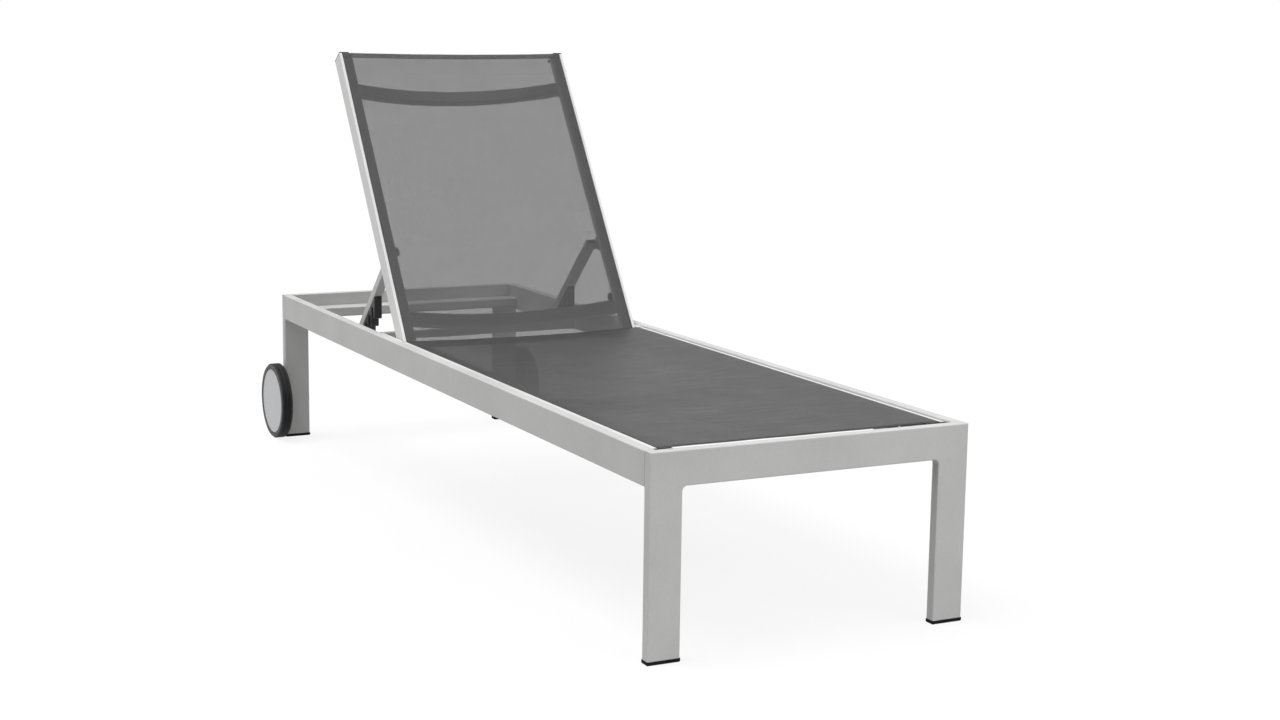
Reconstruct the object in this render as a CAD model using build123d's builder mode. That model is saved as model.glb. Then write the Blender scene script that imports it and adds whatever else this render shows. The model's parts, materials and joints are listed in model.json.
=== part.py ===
from build123d import *
import os
from math import asin, atan2, cos, degrees, hypot, radians, sin, sqrt, tan

# Adjustable sun lounger. X runs across, Y from the foot end to the head end, Z up.
# The origin is on the floor, under the middle of the bounding box.
# Lengths are in millimetres, angles in degrees.

# Main sizes
frame_length = 2000.0
frame_width = 620.0
frame_height = 355.0
back_angle = 55.7            # backrest above the horizontal, in its steepest notch
hinge_from_head = 762.0
hinge_drop = 20.0            # hinge axis below the top of the frame
back_length = 734.0          # from the hinge axis to the ends of the back rails
back_side_gap = 2.5          # between the back rails and the hinge plates
wheel_radius = 92.0

# Clearances
gap = 0.3                    # beside a soft or loose piece, and along a pin
running_gap = 0.08           # radial, between a shaft and its bore
overrun = 5.0                # how far a cut runs past a face

# Frame tube
tube_face = 60.0
tube_depth = 20.0
tube_wall = 1.8
tube_edge = 2.0
corner_radius = 9.0          # weld in the corner of a leg and a rail

# Foot caps
foot_height = 6.5
foot_proud = 1.0
foot_plug = 22.0
foot_chamfer = 1.5

# Channel shared by the seat rails and the back rails
slot_width = 2.6
slot_neck = 2.4
channel_radius = 4.0
spline_radius = 3.7
rail_wall = 1.8
rail_round = 3.5             # edge that the sling runs over
rail_edge = 1.2
head_depth = 13.0
rail_depth = 38.0

# Back rails
back_head_width = 29.5
back_box_width = 15.5
back_lip = 6.0
back_tail = 14.0             # how far a back rail runs past the hinge axis

# Seat rails
seat_head_width = 34.0
seat_box_width = 22.0
seat_lip = 8.0
seat_flange = 4.0
seat_flange_drop = 5.0
seat_drop = 2.5              # seat rails below the top of the frame
seat_front = 38.0
seat_end_gap = 6.0           # between the seat rails and the turning back rails
front_cap_length = 12.0
rear_cap_length = 4.0
end_cap_plug = 14.0

# Slings
sling_thickness = 1.0
seat_sag = 4.0
back_sag = 5.0
sling_end_inset = 2.0
hem_bow = 14.0               # front hem of the seat, drawn in between the rails
back_sling_drop = 3.0

# Crossbars
bar_height = 30.0
bar_depth = 20.0
bar_wall = 1.6
bar_edge = 3.0
back_bow = 42.0
upper_bar_drop = 84.0        # upper crossbar below the ends of the back rails
lower_bar_along = 72.0       # lower crossbar above the hinge axis
seat_bow = 24.0
seat_bar_from_foot = 640.0

# Catch bar and head cross tube
catch_from_hinge = 346.5
catch_width = 10.0
catch_height = 20.0
catch_round = 4.5
ledge_depth = 50.0
ledge_height = 20.0
ledge_drop = 30.0            # top of the tube below the top of the frame
ledge_wall = 1.6
ledge_edge = 2.5

# Caps and studs of the back
top_cap_width = 22.0
back_cap_thickness = 3.0
back_cap_dome = 1.4
top_cap_plug = 12.0
stud_radius = 7.0
stud_length = 6.0
stud_along = 98.0
stud_behind = 6.0

# Hinge
plate_length = 130.0
plate_thickness = 11.0
plate_height = 36.0
plate_corner = 8.0
hinge_bolt_radius = 4.0
hinge_head_radius = 5.5
hinge_head_thickness = 4.0
hinge_socket_radius = 2.9
hinge_socket_depth = 2.2
hinge_boss_radius = 9.0
hex_sides = 6                # sockets, bolt heads and nuts

# Rivets
rivet_radius = 4.0
rivet_height = 1.6
rivet_taper = 35.0
seat_rivet_count = 4
seat_rivet_inset = 112.0
plate_rivet_pitch = 36.0
plate_rivet_count = 2

# Props
prop_pivot_along = 239.8     # from the hinge axis, along the back
prop_pivot_behind = 21.1     # behind the middle of the back rails
prop_width = 20.0
prop_depth = 18.0
prop_wall = 1.5
prop_edge = 1.5
prop_length = 298.0          # from the pivot to the end plug
prop_crown = 12.0            # round upper end, about the pivot
prop_inset = 11.0            # from the box of the back rail to the prop
prop_clearance = 3.0         # between the prop and the catch bar
prop_pin_radius = 3.5
prop_pin_head_radius = 6.5
prop_pin_head = 4.0
prop_plug_plate = 3.0
prop_plug_length = 15.0
bracket_thickness = 4.0
bracket_length = 34.0
bracket_lug_radius = 11.0

# Racks
finger_count = 4
finger_width = 10.0
finger_pitch = 21.0
finger_round = 2.5
finger_hang = 59.3           # tips below the middle line of the prop
slot_hang = 24.2             # tops of the slots below it
catch_slack = 5.5            # front of the catch bar behind the next finger's place
catch_clearance = 5.5        # tips of the last fingers above the catch bar
rack_width = 18.0
rack_edge = 1.8
rack_screw_radius = 2.5
rack_screw_head_radius = 4.5
rack_screw_head = 2.0
rack_screw_length = 16.0
recess_width = 1.2
recess_length = 5.0
recess_depth = 1.2
rack_screw_hang = 19.0       # below the middle line of the prop

# Wheels
wheel_stand_off = 6.0
tyre_width = 27.0
tyre_thickness = 13.0
tyre_bevel = 4.0
groove_count = 4
groove_depth = 0.9
rim_thickness = 4.0
web_thickness = 3.5
boss_radius = 15.0
spoke_count = 6
spoke_width = 4.0
cover_thickness = 2.6
cover_recess = 1.2
cover_edge = 0.8
bush_wall = 3.0
axle_radius = 5.0
axle_head_radius = 8.5
axle_head_thickness = 5.0
axle_nut_radius = 8.5
axle_nut_thickness = 5.0
spacer_radius = 9.0

# Places that follow from the sizes
foot_y = -(frame_length + wheel_radius - tube_depth / 2 - foot_proud) / 2
head_y = foot_y + frame_length
half_width = frame_width / 2
rail_inner_x = half_width - tube_depth
leg_inner_x = half_width - tube_face
rail_bottom_z = frame_height - tube_face

plate_inner_x = rail_inner_x - plate_thickness
hinge_y = head_y - hinge_from_head
hinge_z = frame_height - hinge_drop
back_outer_x = plate_inner_x - back_side_gap
back_inner_x = back_outer_x - back_head_width
back_box_x = back_outer_x - back_box_width
back_front = rail_depth / 2
back_head_under = back_front - head_depth

seat_top_z = frame_height - seat_drop
seat_inner_x = rail_inner_x - seat_flange - seat_head_width
seat_box_x = rail_inner_x - seat_box_width
seat_start_y = foot_y + seat_front
tail_swing = hypot(back_tail + back_cap_thickness, back_front)
seat_end_y = hinge_y - tail_swing - seat_end_gap
plate_start_y = seat_end_y + rear_cap_length + gap

catch_y = hinge_y + catch_from_hinge
catch_top_z = rail_bottom_z + catch_height
ledge_top_z = frame_height - ledge_drop

prop_outer_x = back_box_x - prop_inset
prop_mid_x = prop_outer_x - prop_width / 2
prop_inner_x = prop_outer_x - prop_width

axle_y = head_y - tube_depth / 2
axle_z = wheel_radius
wheel_inner_x = half_width + wheel_stand_off
wheel_outer_x = wheel_inner_x + tyre_width
tyre_inner_radius = wheel_radius - tyre_thickness
rim_outer_x = wheel_outer_x - cover_recess - cover_thickness
rim_inner_x = wheel_inner_x + cover_recess
nut_outer_x = rim_outer_x - gap
nut_inner_x = nut_outer_x - axle_nut_thickness
bush_outer_x = nut_inner_x - gap
bush_inner_x = wheel_inner_x + gap
bush_radius = axle_radius + running_gap + bush_wall

# Backrest: X across, Y up along it, Z out of its front, zero in the middle of its rails
back = Plane(
    origin=(0, hinge_y, hinge_z),
    x_dir=(1, 0, 0),
    z_dir=(0, -sin(radians(back_angle)), cos(radians(back_angle))),
)
prop_pivot = back.from_local_coords((0, prop_pivot_along, -prop_pivot_behind))

# The props pass just above the rear top corner of the catch bar
corner_back = catch_y + catch_width / 2 - catch_round - prop_pivot.Y
corner_drop = prop_pivot.Z - catch_top_z + catch_round
corner_offset = prop_depth / 2 + prop_clearance + catch_round
prop_angle = degrees(atan2(corner_drop, corner_back) - asin(corner_offset / hypot(corner_drop, corner_back)))
prop_dir = Vector(0, cos(radians(prop_angle)), -sin(radians(prop_angle)))


def across(x):
    """Plane square to X: its own X is Y, its own Y is Z."""
    return Plane(origin=(x, 0, 0), x_dir=(0, 1, 0), z_dir=(1, 0, 0))


def along_seat(x, y, z):
    """Plane square to the seat rails: its X points left, its Y up."""
    return Plane(origin=(x, y, z), x_dir=(-1, 0, 0), z_dir=(0, 1, 0))


def along_back(x, along, out):
    """Plane square to the back rails: its X points left, its Y out of the front."""
    return Plane(origin=back.from_local_coords((x, along, out)), x_dir=(-1, 0, 0), z_dir=back.y_dir)


def along_prop(x, along):
    """Plane square to a prop, at a distance from its pivot."""
    return Plane(origin=prop_pivot + Vector(x, 0, 0) + prop_dir * along, x_dir=(1, 0, 0), z_dir=prop_dir)


def side_point(along, out):
    """Place on the backrest, as Y and Z."""
    point = back.from_local_coords((0, along, out))
    return point.Y, point.Z


def prop_line_z(y):
    """Height of the props' middle line at a place along the lounger."""
    return prop_pivot.Z - (y - prop_pivot.Y) * tan(radians(prop_angle))


os.makedirs("parts", exist_ok=True)


def keep(piece, name):
    """Label and write one piece."""
    piece.label = name
    export_step(piece, f"parts/{name}.step")


def keep_pair(piece, name):
    """Write a left-hand piece and its mirrored twin as two pieces."""
    keep(piece, f"{name}_left")
    with BuildPart() as twin:
        mirror(piece, about=Plane.YZ)
    keep(twin.part, f"{name}_right")


def keep_group(piece, name):
    """Write left-hand fasteners together with their mirrored twins."""
    with BuildPart() as group:
        add(piece)
        mirror(piece, about=Plane.YZ)
    keep(group.part, name)


# End frames: a hollow U with legs open below
def build_end_frame(front_y):
    middle = Plane(origin=(0, front_y + tube_depth / 2, 0), x_dir=(1, 0, 0), z_dir=(0, -1, 0))
    with BuildPart() as frame:
        with BuildSketch(middle):
            with Locations((0, foot_height)):
                Rectangle(frame_width, frame_height - foot_height, align=(Align.CENTER, Align.MIN))
        extrude(amount=tube_depth / 2, both=True)
        with BuildSketch(middle) as opening:
            Rectangle(2 * leg_inner_x, rail_bottom_z, align=(Align.CENTER, Align.MIN))
            fillet(opening.vertices().group_by(Axis.Y)[-1], corner_radius)
        extrude(amount=tube_depth, both=True, mode=Mode.SUBTRACT)
        faces = frame.faces().filter_by(Axis.Y)
        rims = faces.edges().filter_by_position(Axis.Z, foot_height + gap, frame_height)
        fillet(rims, tube_edge)
        with BuildSketch(middle):
            with Locations((0, frame_height - tube_wall)):
                Rectangle(frame_width - 2 * tube_wall, frame_height, align=(Align.CENTER, Align.MAX))
            with Locations((0, rail_bottom_z + tube_wall)):
                Rectangle(2 * (leg_inner_x + tube_wall), frame_height, align=(Align.CENTER, Align.MAX),
                          mode=Mode.SUBTRACT)
        extrude(amount=tube_depth / 2 - tube_wall, both=True, mode=Mode.SUBTRACT)
    return frame.part


keep(build_end_frame(foot_y), "foot_end_frame")

# The head end frame is bored for the axles, and kept as its rail and its two legs
with BuildPart() as head_frame:
    add(build_end_frame(head_y - tube_depth))
    with BuildSketch(across(-half_width - overrun)):
        with Locations((axle_y, axle_z)):
            Circle(axle_radius)
    extrude(amount=frame_width + 2 * overrun, mode=Mode.SUBTRACT)

under_rail = Plane.XY.offset(rail_bottom_z)
with BuildPart() as head_rail:
    add(head_frame.part)
    split(bisect_by=under_rail, keep=Keep.TOP)
keep(head_rail.part, "head_rail")

with BuildPart() as head_leg:
    add(head_frame.part)
    split(bisect_by=under_rail, keep=Keep.BOTTOM)
    split(bisect_by=Plane.YZ, keep=Keep.BOTTOM)
keep_pair(head_leg.part, "head_leg")


# Side rails between the end frames
with BuildPart() as side_rail:
    with BuildSketch(along_seat(-rail_inner_x - tube_depth / 2, foot_y + tube_depth,
                                frame_height - tube_face / 2)):
        RectangleRounded(tube_depth, tube_face, tube_edge)
        Rectangle(tube_depth - 2 * tube_wall, tube_face - 2 * tube_wall, mode=Mode.SUBTRACT)
    extrude(amount=frame_length - 2 * tube_depth)
keep_pair(side_rail.part, "side_rail")


# Foot caps: a pad a little proud of the leg, with a plug in it
def build_foot_cap(leg_y):
    leg_x = -leg_inner_x - tube_face / 2
    wall = tube_wall + gap
    with BuildPart() as cap:
        with BuildSketch():
            with Locations((leg_x, leg_y)):
                RectangleRounded(tube_face + 2 * foot_proud, tube_depth + 2 * foot_proud, tube_edge)
        extrude(amount=foot_height)
        chamfer(cap.faces().sort_by(Axis.Z)[0].edges(), foot_chamfer)
        with BuildSketch(Plane.XY.offset(foot_height)):
            with Locations((leg_x, leg_y)):
                RectangleRounded(tube_face - 2 * wall, tube_depth - 2 * wall, tube_edge)
        extrude(amount=foot_plug)
    return cap.part


keep_pair(build_foot_cap(foot_y + tube_depth / 2), "foot_cap_front")
keep_pair(build_foot_cap(axle_y), "foot_cap_rear")


# Section of a sling rail: a flat head over a box, with a slotted channel for the spline.
# X is zero at the inner edge of the head and grows outwards, Y is zero on the front face.
def rail_section(head_width, box_width, lip, flange, flange_drop):
    slot_x = head_width - lip - slot_width / 2
    box_x = head_width + flange
    with BuildSketch() as section:
        Rectangle(head_width, head_depth, align=(Align.MIN, Align.MAX))
        with Locations((box_x, -flange_drop)):
            Rectangle(box_width, rail_depth - flange_drop, align=(Align.MAX, Align.MAX))
        fillet(section.vertices().group_by(Axis.X)[0].sort_by(Axis.Y)[-1], rail_round)
        fillet(section.vertices().group_by(Axis.X)[0].sort_by(Axis.Y)[0], rail_edge)
        fillet(section.vertices().group_by(Axis.Y)[0], rail_edge)
        fillet(section.vertices().group_by(Axis.Y)[-1].sort_by(Axis.X)[-1], rail_edge)
        with Locations((slot_x, 0)):
            Rectangle(slot_width, slot_neck + channel_radius, align=(Align.CENTER, Align.MAX),
                      mode=Mode.SUBTRACT)
        with Locations((slot_x, -slot_neck - channel_radius)):
            Circle(channel_radius, mode=Mode.SUBTRACT)
        with Locations((rail_wall, -rail_wall)):
            Rectangle(slot_x - channel_radius - 2 * rail_wall, head_depth - 2 * rail_wall,
                      align=(Align.MIN, Align.MAX), mode=Mode.SUBTRACT)
        with Locations((box_x - rail_wall, -head_depth)):
            Rectangle(box_width - 2 * rail_wall, rail_depth - head_depth - rail_wall,
                      align=(Align.MAX, Align.MAX), mode=Mode.SUBTRACT)
    return section.sketch


seat_section = rail_section(seat_head_width, seat_box_width, seat_lip, seat_flange, seat_flange_drop)
back_section = rail_section(back_head_width, back_box_width, back_lip, 0, 0)
seat_slot_x = seat_inner_x + seat_head_width - seat_lip - slot_width / 2
back_slot_x = back_outer_x - back_lip - slot_width / 2
spline_depth = slot_neck + channel_radius


# Seat rails and their splines
seat_rail_start = along_seat(-seat_inner_x, seat_start_y, seat_top_z)
seat_rail_length = seat_end_y - seat_start_y
with BuildPart() as seat_rail:
    with BuildSketch(seat_rail_start):
        add(seat_section)
    extrude(amount=seat_rail_length)
keep_pair(seat_rail.part, "seat_rail")

with BuildPart() as seat_spline:
    with BuildSketch(along_seat(-seat_slot_x, seat_start_y, seat_top_z - spline_depth)):
        Circle(spline_radius)
    extrude(amount=seat_rail_length)
keep_pair(seat_spline.part, "seat_spline")


# End caps of the seat rails: the section's outline, with a plug in the box
def build_seat_cap(end_y, outward, length):
    start = along_seat(-seat_inner_x, end_y, seat_top_z)
    plug_wall = rail_wall + gap
    box_x = seat_head_width + seat_flange
    with BuildPart() as cap:
        with BuildSketch(start) as outline:
            Rectangle(seat_head_width, head_depth, align=(Align.MIN, Align.MAX))
            with Locations((box_x, -seat_flange_drop)):
                Rectangle(seat_box_width, rail_depth - seat_flange_drop, align=(Align.MAX, Align.MAX))
            fillet(outline.vertices().group_by(Axis.X)[0], rail_edge)
        extrude(amount=outward * length)
        with BuildSketch(start):
            with Locations((box_x - plug_wall, -head_depth - gap)):
                Rectangle(seat_box_width - 2 * plug_wall, rail_depth - head_depth - gap - plug_wall,
                          align=(Align.MAX, Align.MAX))
        extrude(amount=-outward * end_cap_plug)
    return cap.part


keep_pair(build_seat_cap(seat_start_y, -1, front_cap_length), "seat_rail_front_cap")
keep_pair(build_seat_cap(seat_end_y, 1, rear_cap_length), "seat_rail_rear_cap")


# Section of a sling: over both rails, down into their slots, with a slight sag between
def sling_section(slot_x, edge_x, sag):
    half = sling_thickness / 2
    top = gap + sling_thickness
    with BuildSketch() as section:
        with BuildLine():
            upper = ThreePointArc((-edge_x, top), (0, top - sag), (edge_x, top))
            lower = ThreePointArc((-edge_x, gap), (0, gap - sag), (edge_x, gap))
            for side in (-1, 1):
                Polyline(
                    (side * edge_x, top),
                    (side * (slot_x + half), top),
                    (side * (slot_x + half), -slot_neck),
                    (side * (slot_x - half), -slot_neck),
                    (side * (slot_x - half), gap),
                    (side * edge_x, gap),
                )
        make_face()
    return section.sketch


# Seat sling, with its front hem cut to a shallow curve
seat_sling_y = seat_start_y + gap
with BuildPart() as seat_sling:
    with BuildSketch(along_seat(0, seat_sling_y, seat_top_z)):
        add(sling_section(seat_slot_x, seat_inner_x, seat_sag))
    extrude(amount=seat_end_y - sling_end_inset - seat_sling_y)
    with BuildSketch(Plane.XY.offset(seat_top_z - seat_sag - overrun)):
        with BuildLine():
            hem = ThreePointArc((-seat_inner_x, seat_sling_y), (0, seat_sling_y + hem_bow),
                                (seat_inner_x, seat_sling_y))
            Polyline(hem @ 1, (seat_inner_x, seat_start_y - overrun),
                     (-seat_inner_x, seat_start_y - overrun), hem @ 0)
        make_face()
    extrude(amount=seat_sag + 2 * overrun, mode=Mode.SUBTRACT)
keep(seat_sling.part, "seat_sling")


# Bowed bars: flat tube, bent to one side between its ends
def bowed_band(half_span, depth, bow):
    with BuildSketch() as band:
        with BuildLine():
            front = ThreePointArc((-half_span, depth / 2), (0, depth / 2 - bow), (half_span, depth / 2))
            rear = ThreePointArc((-half_span, -depth / 2), (0, -depth / 2 - bow), (half_span, -depth / 2))
            Line(front @ 0, rear @ 0)
            Line(front @ 1, rear @ 1)
        make_face()
    return band.sketch


def build_bowed_bar(middle, half_span, bow):
    with BuildPart() as bar:
        with BuildSketch(middle):
            add(bowed_band(half_span, bar_depth, bow))
        extrude(amount=bar_height / 2, both=True)
        fillet(bar.edges().filter_by(GeomType.CIRCLE), bar_edge)
        with BuildSketch(middle):
            add(bowed_band(half_span, bar_depth - 2 * bar_wall, bow))
        extrude(amount=bar_height / 2 - bar_wall, both=True, mode=Mode.SUBTRACT)
    return bar.part


seat_bar_z = seat_top_z - rail_depth + bar_depth / 2
keep(build_bowed_bar(along_seat(0, foot_y + seat_bar_from_foot, seat_bar_z), seat_box_x, seat_bow),
     "seat_stretcher")
bar_out = back_head_under - bar_depth / 2
upper_bar_along = back_length - upper_bar_drop
keep(build_bowed_bar(along_back(0, upper_bar_along, bar_out), back_box_x, back_bow), "back_crossbar_upper")
keep(build_bowed_bar(along_back(0, lower_bar_along, bar_out), back_box_x, back_bow), "back_crossbar_lower")


# Catch bar: a flat bar on edge, full width between the side rails
with BuildPart() as catch_bar:
    with BuildSketch(across(-rail_inner_x)):
        with Locations((catch_y, rail_bottom_z + catch_height / 2)):
            RectangleRounded(catch_width, catch_height, catch_round)
    extrude(amount=2 * rail_inner_x)
keep(catch_bar.part, "catch_bar")


# Head cross tube, a ledge inside the head rail
with BuildPart() as head_tube:
    with BuildSketch(across(-rail_inner_x)):
        with Locations((head_y - tube_depth - ledge_depth / 2, ledge_top_z - ledge_height / 2)):
            RectangleRounded(ledge_depth, ledge_height, ledge_edge)
            Rectangle(ledge_depth - 2 * ledge_wall, ledge_height - 2 * ledge_wall, mode=Mode.SUBTRACT)
    extrude(amount=2 * rail_inner_x)
keep(head_tube.part, "head_cross_tube")


# Hinge plates on the inner faces of the side rails, with a boss towards each back rail
with BuildPart() as hinge_plate:
    with BuildSketch(across(-rail_inner_x)) as outline:
        with Locations((plate_start_y, seat_top_z)):
            Rectangle(plate_length, plate_height, align=(Align.MIN, Align.MAX))
        fillet(outline.vertices().group_by(Axis.Y)[0], plate_corner)
        with Locations((hinge_y, hinge_z)):
            Circle(hinge_bolt_radius, mode=Mode.SUBTRACT)
    extrude(amount=plate_thickness)
    fillet(hinge_plate.edges().filter_by(Axis.Y).group_by(Axis.Z)[-1], tube_edge)
    with BuildSketch(across(-plate_inner_x)):
        with Locations((hinge_y, hinge_z)):
            Circle(hinge_boss_radius)
            Circle(hinge_bolt_radius, mode=Mode.SUBTRACT)
    extrude(amount=plate_inner_x - back_outer_x - gap)
keep_pair(hinge_plate.part, "hinge_plate")


# Hinge bolts, set in the plates, with a socket head inside each back rail
bolt_head_x = back_box_x - gap
with BuildPart() as hinge_bolt:
    with BuildSketch(across(-rail_inner_x)):
        with Locations((hinge_y, hinge_z)):
            Circle(hinge_bolt_radius)
    extrude(amount=rail_inner_x - bolt_head_x)
    with BuildSketch(across(-bolt_head_x)):
        with Locations((hinge_y, hinge_z)):
            Circle(hinge_head_radius)
    extrude(amount=hinge_head_thickness)
    fillet(hinge_bolt.faces().sort_by(Axis.X)[-1].edges(), rail_edge)
    with BuildSketch(across(-bolt_head_x + hinge_head_thickness)):
        with Locations((hinge_y, hinge_z)):
            RegularPolygon(hinge_socket_radius, hex_sides)
    extrude(amount=-hinge_socket_depth, mode=Mode.SUBTRACT)
keep_group(hinge_bolt.part, "hinge_bolts")


# Blind rivets, their heads on the seat rails and the hinge plates
rivet_step = (seat_rail_length - 2 * seat_rivet_inset) / (seat_rivet_count - 1)
seat_rivet_z = seat_top_z - (rail_depth + head_depth) / 2
plate_rivet_z = seat_top_z - plate_height / 2
plate_rivet_y = plate_start_y + plate_length - plate_rivet_pitch
with BuildPart() as rivets:
    with BuildSketch(across(-seat_box_x)):
        for i in range(seat_rivet_count):
            with Locations((seat_start_y + seat_rivet_inset + i * rivet_step, seat_rivet_z)):
                Circle(rivet_radius)
    with BuildSketch(across(-plate_inner_x)):
        with Locations((plate_rivet_y, plate_rivet_z)):
            with GridLocations(plate_rivet_pitch, 0, plate_rivet_count, 1):
                Circle(rivet_radius)
    extrude(amount=rivet_height, taper=rivet_taper)
keep_group(rivets.part, "frame_rivets")


# Back rails, bored for the hinge bolts, and their splines
back_rail_length = back_length + back_tail
with BuildPart() as back_rail:
    with BuildSketch(along_back(-back_inner_x, -back_tail, back_front)):
        add(back_section)
    extrude(amount=back_rail_length)
    with BuildSketch(across(-back_outer_x - overrun)):
        with Locations((hinge_y, hinge_z)):
            Circle(hinge_bolt_radius + running_gap)
    extrude(amount=back_head_width + 2 * overrun, mode=Mode.SUBTRACT)
keep_pair(back_rail.part, "back_rail")

with BuildPart() as back_spline:
    with BuildSketch(along_back(-back_slot_x, -back_tail, back_front - spline_depth)):
        Circle(spline_radius)
    extrude(amount=back_rail_length)
keep_pair(back_spline.part, "back_spline")


# End caps of the back rails: a domed plate, with a plug in the box
def build_back_cap(end, outward, width, plug_length):
    plug_wall = rail_wall + gap
    with BuildPart() as cap:
        with BuildSketch(along_back(-back_outer_x, end, 0)):
            Rectangle(width, rail_depth, align=(Align.MAX, Align.CENTER))
        extrude(amount=outward * back_cap_thickness)
        outer_face = cap.faces().filter_by(lambda f: f.normal_at().dot(back.y_dir) * outward > gap)[0]
        fillet(outer_face.edges(), back_cap_dome)
        with BuildSketch(along_back(-back_outer_x, end, -back_front)):
            with Locations((-plug_wall, plug_wall)):
                Rectangle(back_box_width - 2 * plug_wall, rail_depth - head_depth - plug_wall - gap,
                          align=(Align.MAX, Align.MIN))
        extrude(amount=-outward * plug_length)
    return cap.part


lower_plug = back_tail - hinge_bolt_radius - back_cap_thickness
keep_pair(build_back_cap(back_length, 1, top_cap_width, top_cap_plug), "back_top_cap")
keep_pair(build_back_cap(-back_tail, -1, back_box_width, lower_plug), "back_lower_cap")


# Back sling, from the seat up to the caps
back_sling_start = sling_end_inset - back_tail
with BuildPart() as back_sling:
    with BuildSketch(along_back(0, back_sling_start, back_front)):
        add(sling_section(back_slot_x, back_inner_x, back_sag))
    extrude(amount=back_length - back_sling_drop - back_sling_start)
keep(back_sling.part, "back_sling")


# Studs on the inner faces of the back rails
with BuildPart() as stud:
    with BuildSketch(across(-back_box_x)):
        with Locations(side_point(stud_along, -stud_behind)):
            Circle(stud_radius)
    extrude(amount=stud_length)
    fillet(stud.faces().sort_by(Axis.X)[-1].edges(), rail_edge)
keep_group(stud.part, "back_studs")


# Prop brackets: a plate on the back rail with a lug out to the prop
lug_inner_x = prop_outer_x + gap
bracket_half = bracket_length / 2
pivot_yz = (prop_pivot.Y, prop_pivot.Z)
with BuildPart() as bracket:
    with BuildSketch(across(-back_box_x)):
        with BuildLine():
            Polyline(
                side_point(prop_pivot_along - bracket_half, back_head_under - rail_edge),
                side_point(prop_pivot_along + bracket_half, back_head_under - rail_edge),
                side_point(prop_pivot_along + bracket_half, -back_front),
                side_point(prop_pivot_along - bracket_half, -back_front),
                close=True,
            )
        make_face()
        with Locations(pivot_yz):
            Circle(bracket_lug_radius)
    extrude(amount=bracket_thickness)
    with BuildSketch(across(-back_box_x)):
        with Locations(pivot_yz):
            Circle(bracket_lug_radius)
    extrude(amount=back_box_x - lug_inner_x)
    with BuildSketch(across(-back_box_x)):
        with Locations(pivot_yz):
            Circle(prop_pin_radius)
    extrude(amount=back_box_x - lug_inner_x, mode=Mode.SUBTRACT)
keep_pair(bracket.part, "prop_bracket")

pin_head_x = prop_inner_x - gap
with BuildPart() as prop_pin:
    with BuildSketch(across(-back_box_x)):
        with Locations(pivot_yz):
            Circle(prop_pin_radius)
    extrude(amount=back_box_x - pin_head_x)
    with BuildSketch(across(-pin_head_x)):
        with Locations(pivot_yz):
            Circle(prop_pin_head_radius)
    extrude(amount=prop_pin_head)
    fillet(prop_pin.faces().sort_by(Axis.X)[-1].edges(), rail_edge)
keep_group(prop_pin.part, "prop_pins")


# Prop arms: square tube, round about the pivot
rack_front_y = catch_y - catch_width / 2 - catch_slack - finger_count * finger_pitch
screw_z = prop_line_z(rack_front_y) - rack_screw_hang
screw_plane = Plane(origin=(-prop_mid_x, rack_front_y, screw_z), x_dir=(1, 0, 0), z_dir=(0, 1, 0))
with BuildPart() as prop_arm:
    with BuildSketch(along_prop(-prop_mid_x, -prop_crown)):
        RectangleRounded(prop_width, prop_depth, prop_edge)
        Rectangle(prop_width - 2 * prop_wall, prop_depth - 2 * prop_wall, mode=Mode.SUBTRACT)
    extrude(amount=prop_crown + prop_length)
    with BuildSketch(Plane(origin=prop_pivot - Vector(prop_outer_x + overrun, 0, 0), x_dir=prop_dir,
                           z_dir=(1, 0, 0))):
        Rectangle(2 * prop_crown, 2 * prop_crown, align=(Align.MAX, Align.CENTER))
        Circle(prop_crown, mode=Mode.SUBTRACT)
    extrude(amount=prop_width + 2 * overrun, mode=Mode.SUBTRACT)
    with BuildSketch(across(-prop_outer_x - overrun)):
        with Locations(pivot_yz):
            Circle(prop_pin_radius + running_gap)
    extrude(amount=prop_width + 2 * overrun, mode=Mode.SUBTRACT)
    with BuildSketch(screw_plane):
        Circle(rack_screw_radius)
    extrude(amount=rack_screw_length, mode=Mode.SUBTRACT)
keep_pair(prop_arm.part, "prop_arm")

with BuildPart() as prop_plug:
    with BuildSketch(along_prop(-prop_mid_x, prop_length)):
        RectangleRounded(prop_width, prop_depth, prop_edge)
    extrude(amount=prop_plug_plate)
    with BuildSketch(along_prop(-prop_mid_x, prop_length)):
        Rectangle(prop_width - 2 * (prop_wall + gap), prop_depth - 2 * (prop_wall + gap))
    extrude(amount=-prop_plug_length)
keep_pair(prop_plug.part, "prop_plug")


# Racks under the props: upright fingers with round-topped slots between them
slot_gap = finger_pitch - finger_width
with BuildPart() as rack:
    with BuildSketch(across(-prop_mid_x - rack_width / 2)):
        for i in range(finger_count):
            middle_y = rack_front_y + finger_width / 2 + i * finger_pitch
            tip_z = max(prop_line_z(middle_y) - finger_hang, catch_top_z + catch_clearance)
            with Locations((middle_y, tip_z)):
                RectangleRounded(finger_width, prop_line_z(middle_y) - tip_z, finger_round,
                                 align=(Align.CENTER, Align.MIN))
        for i in range(finger_count - 1):
            middle_y = rack_front_y + finger_width + slot_gap / 2 + i * finger_pitch
            round_z = prop_line_z(middle_y) - slot_hang - slot_gap / 2
            with Locations((middle_y, round_z)):
                Rectangle(slot_gap, prop_line_z(middle_y) - round_z, align=(Align.CENTER, Align.MIN))
                Circle(slot_gap / 2, mode=Mode.SUBTRACT)
        with Locations(pivot_yz):
            Rectangle(2 * prop_length, prop_depth, rotation=-prop_angle, mode=Mode.SUBTRACT)
    extrude(amount=rack_width)
    rims = rack.faces().filter_by(Axis.X).edges()
    fillet(rims - rims.filter_by(Axis(prop_pivot, prop_dir)), rack_edge)
    with BuildSketch(screw_plane):
        Circle(rack_screw_radius)
    extrude(amount=rack_screw_length, mode=Mode.SUBTRACT)
keep_pair(rack.part, "prop_rack")

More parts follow.
